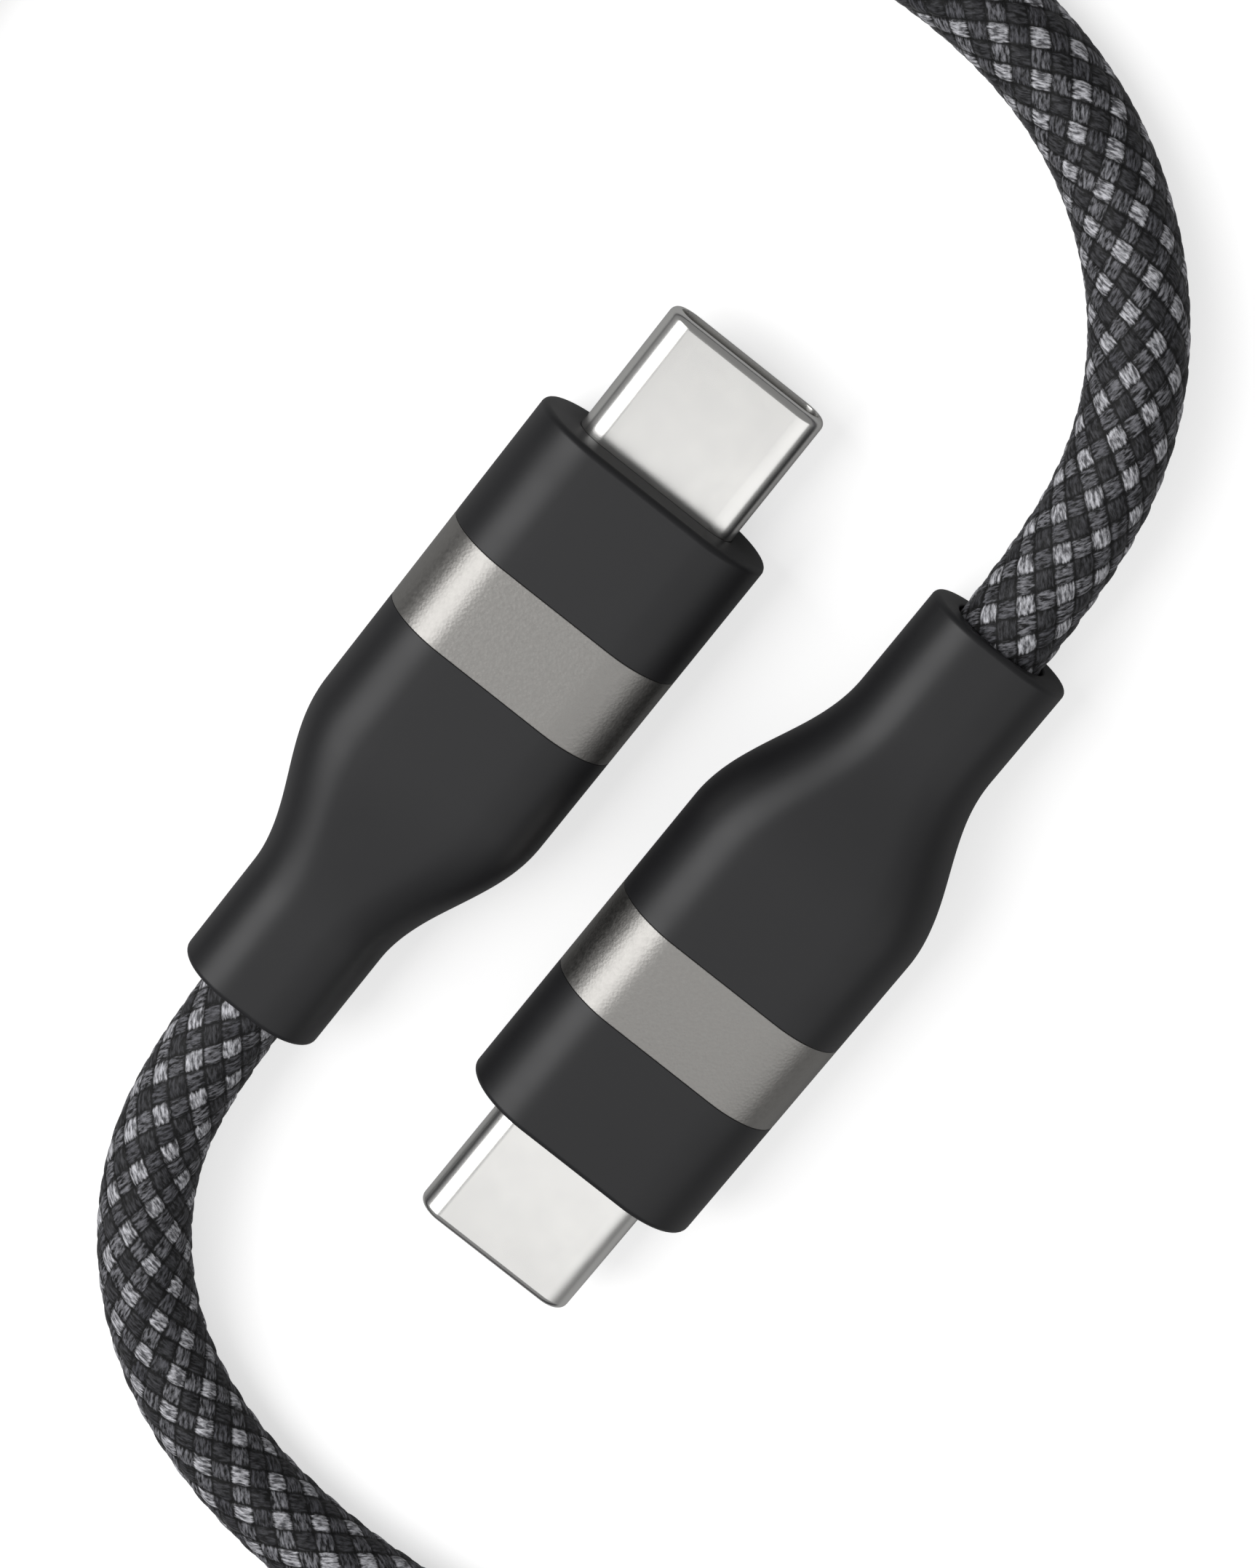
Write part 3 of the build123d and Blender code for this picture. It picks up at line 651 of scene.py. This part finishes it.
# Of the parts inside, gold plate is smooth and bright, and plated or stamped steel is satin. Solder mask has
# a soft gloss, like the wires' insulation. Mouldings and ceramics are matt, and the elastomer is the dullest.
MATERIALS = {
    "housing": soft_touch(),
    "band": blasted_band(),
    "shell": polished_nickel(),
    "braid": braid(),
    "contact_block": plain("black_liquid_crystal_polymer", "#101011", "#19191a", 0.8, 0.45, bump=0.1),
    "contacts": plain("gold_plate", "#c99a3c", "#e3bd66", 0.5, 0.28, metallic=1.0),
    "spring_steel": plain("stamped_spring_steel", "#a9acb0", "#c2c4c7", 0.3, 0.30, metallic=1.0, bump=0.1),
    "shield": plain("tin_plated_steel", "#9ea2a7", "#b7babd", 0.6, 0.38, metallic=1.0, bump=0.1),
    "board": plain("green_solder_mask", "#17492f", "#1f5e3c", 0.5, 0.35, bump=0.1),
    "chip": plain("epoxy_moulding", "#151517", "#202022", 0.2, 0.6, bump=0.2),
    "capacitor": plain("barium_titanate_ceramic", "#8d7351", "#ab8f6b", 0.2, 0.5, bump=0.1),
    "inner_mould": plain("natural_polypropylene", "#cfccc2", "#dedbd2", 0.9, 0.5, bump=0.1),
    "jacket": plain("elastomer_jacket", "#141416", "#1d1d1f", 0.5, 0.6, bump=0.1),
    "crimp": plain("pressed_steel", "#a4a7ab", "#bfc1c4", 0.4, 0.35, metallic=1.0, bump=0.1),
    "wire_red": plain("red_insulation", "#a3201a", "#b92b22", 0.4, 0.4),
    "wire_black": plain("black_insulation", "#171718", "#202021", 0.4, 0.4),
    "wire_blue": plain("blue_insulation", "#244b94", "#3160ae", 0.4, 0.4),
    "wire_green": plain("green_insulation", "#277c3c", "#36944b", 0.4, 0.4),
    "wire_white": plain("white_insulation", "#dcdcd8", "#ebebe8", 0.4, 0.4),
}

for part in frame["record"]["subparts"]:
    mesh = frame["nodes"][part["node"]].data
    mesh.materials.clear()
    mesh.materials.append(MATERIALS[part["material_slot"]])

jacket = tube("cord_jacket", line, CORD_DIAMETER / 2 - JACKET_INSET, MATERIALS["jacket"])
cord_total = np.linalg.norm(np.diff(line, axis=0), axis=1).sum() / MM
middle = cord_total / 2
sleeves = [
    braid_piece("braid_by_plug_a", line, 0, SHOWN, FINE, MATERIALS["braid"]),
    braid_piece("braid_first_turns", line, SHOWN, middle, COARSE, MATERIALS["braid"]),
    braid_piece("braid_last_turns", line, middle, cord_total - SHOWN, COARSE, MATERIALS["braid"]),
    braid_piece("braid_by_plug_b", line, cord_total - SHOWN, cord_total, FINE, MATERIALS["braid"]),
]
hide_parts("cord_a", "cord_b")
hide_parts("cord_coil")

for name in ("a", "b"):
    plug = plug_frame(name)
    for part, slot, profile in (
        ("shell", "shell", shell_profile()),
        ("front_cap", "housing", cap_profile()),
        ("metal_band", "band", band_profile()),
        ("rear_housing", "housing", rear_profile()),
    ):
        piece = slot_solid(f"{part}_{name}", plug, profile, MATERIALS[slot])
        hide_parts(f"plug_{name}_{part}")

# ---------------------------------------------------------------- studio

FLOOR_HALF = 3.0  # metres
FLOOR_BELOW = 0.03  # millimetres under the object
FLOOR_GLOW = 0.62
WORLD_LIGHT = 0.22


def floor_material():
    """Plain white paper. Seen straight, it has a little light of its own, so that it stays white and its
    shadows stay faint. To every other ray it is a grey paper with no light of its own, so that it is darker
    in reflections and lights the object less. The Light Path node tells the two apart."""
    material, tree, output = new_material("studio_floor")
    paper = add(tree, "BsdfDiffuse", linear("#e4e4e4"))
    glow = add(tree, "Emission", linear("#ffffff"), FLOOR_GLOW)
    lit = add(tree, "AddShader", paper, glow)
    dimmed = add(tree, "BsdfDiffuse", linear("#b4b4b4"))
    both = add(tree, "MixShader", add(tree, "LightPath").outputs["Is Camera Ray"], dimmed, lit)
    tree.links.new(both.outputs[0], output.inputs["Surface"])
    return material


def make_floor():
    """A level square under the object."""
    corners = ((-1, -1), (1, -1), (1, 1), (-1, 1))
    points = [(x * FLOOR_HALF, y * FLOOR_HALF, -FLOOR_BELOW * MM) for x, y in corners]
    mesh = bpy.data.meshes.new("floor")
    mesh.from_pydata(points, [], [(0, 1, 2, 3)])
    mesh.materials.append(floor_material())
    floor = bpy.data.objects.new("floor", mesh)
    bpy.context.scene.collection.objects.link(floor)


def make_panel(name, leftwards, backwards, distance, across, lengthways, brightness):
    """A soft panel of a given radiance that faces the object. From straight up, it is tilted back along plug
    A by one angle and then to its left by another, in degrees. Its distance and its size, across and along,
    are in metres. Its power is the radiance times pi times its area."""
    _, ahead, right = (Vector(v) for v in plug_frame("a"))
    back, left = math.radians(backwards), math.radians(leftwards)
    up = Vector(UP) * math.cos(back) - ahead * math.sin(back)
    level = Vector(UP) * math.sin(back) + ahead * math.cos(back)
    out = up * math.cos(left) - right * math.sin(left)
    light = bpy.data.lights.new(name, "AREA")
    light.shape = "RECTANGLE"
    light.size, light.size_y = lengthways, across
    light.energy = brightness * math.pi * across * lengthways
    panel = bpy.data.objects.new(name, light)
    axes = Matrix((level, out.cross(level), out)).transposed()
    panel.matrix_world = Matrix.Translation(out * distance) @ axes.to_4x4()
    panel.visible_camera = False
    bpy.context.scene.collection.objects.link(panel)


def make_world():
    """Dim white light from all round."""
    world = bpy.data.worlds.new("studio")
    world.use_nodes = True
    background = world.node_tree.nodes["Background"]
    background.inputs["Color"].default_value = (1, 1, 1, 1)
    background.inputs["Strength"].default_value = WORLD_LIGHT
    bpy.context.scene.world = world


make_floor()
make_world()
make_panel(
    "left_panel", leftwards=36.5, backwards=16, distance=0.45, across=0.37, lengthways=0.40, brightness=2.8
)
make_panel(
    "right_panel", leftwards=-30.5, backwards=16, distance=0.50, across=0.69, lengthways=0.21, brightness=0.9
)
bpy.context.scene.view_settings.view_transform = "Standard"
